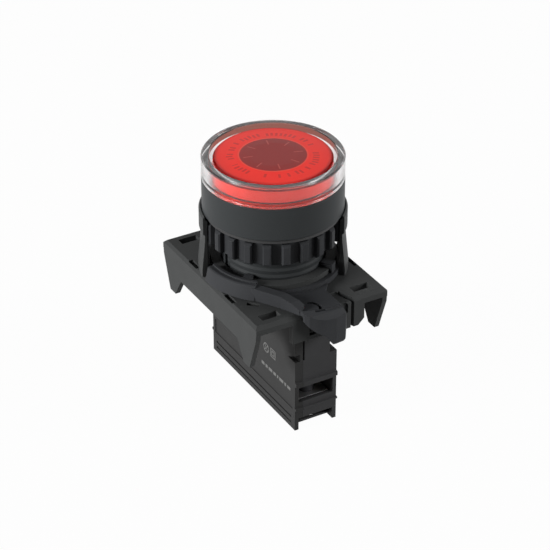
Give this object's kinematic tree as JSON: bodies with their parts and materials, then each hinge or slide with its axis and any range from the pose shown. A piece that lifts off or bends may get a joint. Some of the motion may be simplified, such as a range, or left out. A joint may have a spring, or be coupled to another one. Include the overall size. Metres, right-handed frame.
{
  "type": "panel pilot light",
  "caption": "Round red pilot light for a panel hole, with a threaded barrel, ring nut, clip-on holder with lock lever and a slim LED block with screw terminals.",
  "frame": {"origin": "on the lamp axis, in the plane where the bezel meets the panel's front face", "axes": "+Z along the lamp axis towards the lens, -Y towards the lock lever's finger grip, +X to the right seen from the grip's end with the lens up"},
  "size_m": [0.0312, 0.0434, 0.0565],
  "materials": {
    "clear_guard": "clear, polished",
    "red_lens": "translucent red, polished",
    "legend": "satin",
    "diffuser_white": "milky",
    "black_rubber": "matte",
    "bezel_plastic": "smooth satin",
    "nut_plastic": "satin",
    "holder_plastic": "fine grain",
    "lever_plastic": "satin",
    "block_plastic": "fine grain",
    "cover_plastic": "fine grain",
    "tower_plastic": "smooth",
    "led_epoxy": "milky epoxy",
    "board_green": "solder mask",
    "resistor_body": "lacquered",
    "capacitor_sleeve": "shrink sleeve",
    "chip_black": "moulded",
    "zinc_steel": "zinc plated",
    "black_steel": "blackened",
    "terminal_brass": "stamped",
    "screw_steel": "zinc plated"
  },
  "bodies": {
    "base": {"guard_ring": "clear_guard", "lens": "red_lens", "legend_disc": "legend", "diffuser": "diffuser_white", "lens_seal": "black_rubber", "bezel_body": "bezel_plastic", "panel_gasket": "black_rubber", "holder_base": "holder_plastic", "block_housing": "block_plastic", "block_cover": "cover_plastic", "lamp_tower": "tower_plastic", "led": "led_epoxy", "circuit_board": "board_green", "resistor": "resistor_body", "capacitor": "capacitor_sleeve", "rectifier": "chip_black", "terminal_plate_front": "terminal_brass", "terminal_plate_rear": "terminal_brass"},
    "washer": {"keyed_washer": "black_steel"},
    "nut": {"ring_nut": "nut_plastic"},
    "lever": {"lock_lever": "lever_plastic"},
    "clamp_front": {"clamp_plate_front": "zinc_steel"},
    "screw_front": {"terminal_screw_front": "screw_steel"},
    "clamp_rear": {"clamp_plate_rear": "zinc_steel"},
    "screw_rear": {"terminal_screw_rear": "screw_steel"}
  },
  "joints": [
    {"name": "nut_travel", "type": "slide", "parent": "base", "child": "washer", "axis": [0, 0, 1], "range_m": [-0.00187, 0]},
    {"name": "nut_turn", "type": "hinge", "parent": "washer", "child": "nut", "pos_m": [0, 0, -0.004], "axis": [0, 0, 1], "range_deg": [-455, 0]},
    {"name": "lever_swing", "type": "hinge", "parent": "base", "child": "lever", "pos_m": [0, 0, -0.0112], "axis": [0, 0, 1], "range_deg": [0, 9]},
    {"name": "clamp_front_travel", "type": "slide", "parent": "base", "child": "clamp_front", "axis": [0, 0, 1], "range_m": [0, 0.003]},
    {"name": "screw_front_turn", "type": "hinge", "parent": "clamp_front", "child": "screw_front", "pos_m": [0, -0.0135, -0.038], "axis": [0, 0, 1], "range_deg": [0, 1810]},
    {"name": "clamp_rear_travel", "type": "slide", "parent": "base", "child": "clamp_rear", "axis": [0, 0, 1], "range_m": [0, 0.003]},
    {"name": "screw_rear_turn", "type": "hinge", "parent": "clamp_rear", "child": "screw_rear", "pos_m": [0, 0.0135, -0.038], "axis": [0, 0, 1], "range_deg": [0, 1810]}
  ],
  "couplings": [
    {"joint": "nut_turn", "follows": "nut_travel", "rad_per_m": 4188.8},
    {"joint": "screw_front_turn", "follows": "clamp_front_travel", "rad_per_m": 10472},
    {"joint": "screw_rear_turn", "follows": "clamp_rear_travel", "rad_per_m": 10472}
  ]
}
